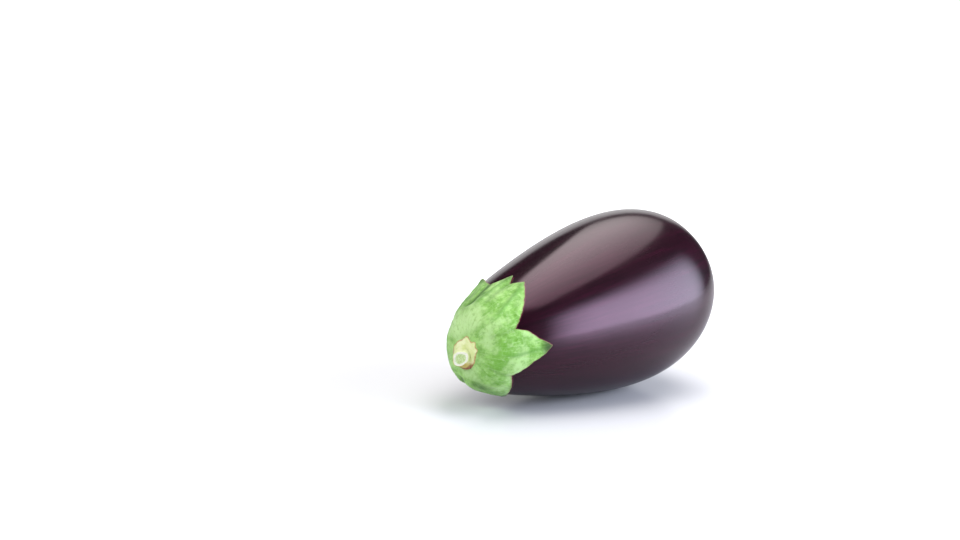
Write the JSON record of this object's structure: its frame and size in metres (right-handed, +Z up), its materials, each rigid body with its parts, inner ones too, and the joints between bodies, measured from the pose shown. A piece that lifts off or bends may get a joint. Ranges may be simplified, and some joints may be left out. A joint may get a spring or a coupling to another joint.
{
  "type": "eggplant",
  "caption": "Globe eggplant lying on its side: a glossy dark purple pear-shaped fruit capped by a lobed green calyx with a short cut stem.",
  "frame": {"origin": "middle of the underside of the bounding box, at the height of the flat spot that the fruit rests on", "axes": "+Y along the fruit from its stem to its blossom end, +Z up from the surface that it lies on"},
  "size_m": [0.092, 0.1886, 0.0939],
  "materials": {
    "skin": "gloss",
    "calyx": "matte",
    "stem": "matte"
  },
  "bodies": {
    "root": {"fruit": "skin", "calyx": "calyx", "stem": "stem"}
  },
  "joints": []
}
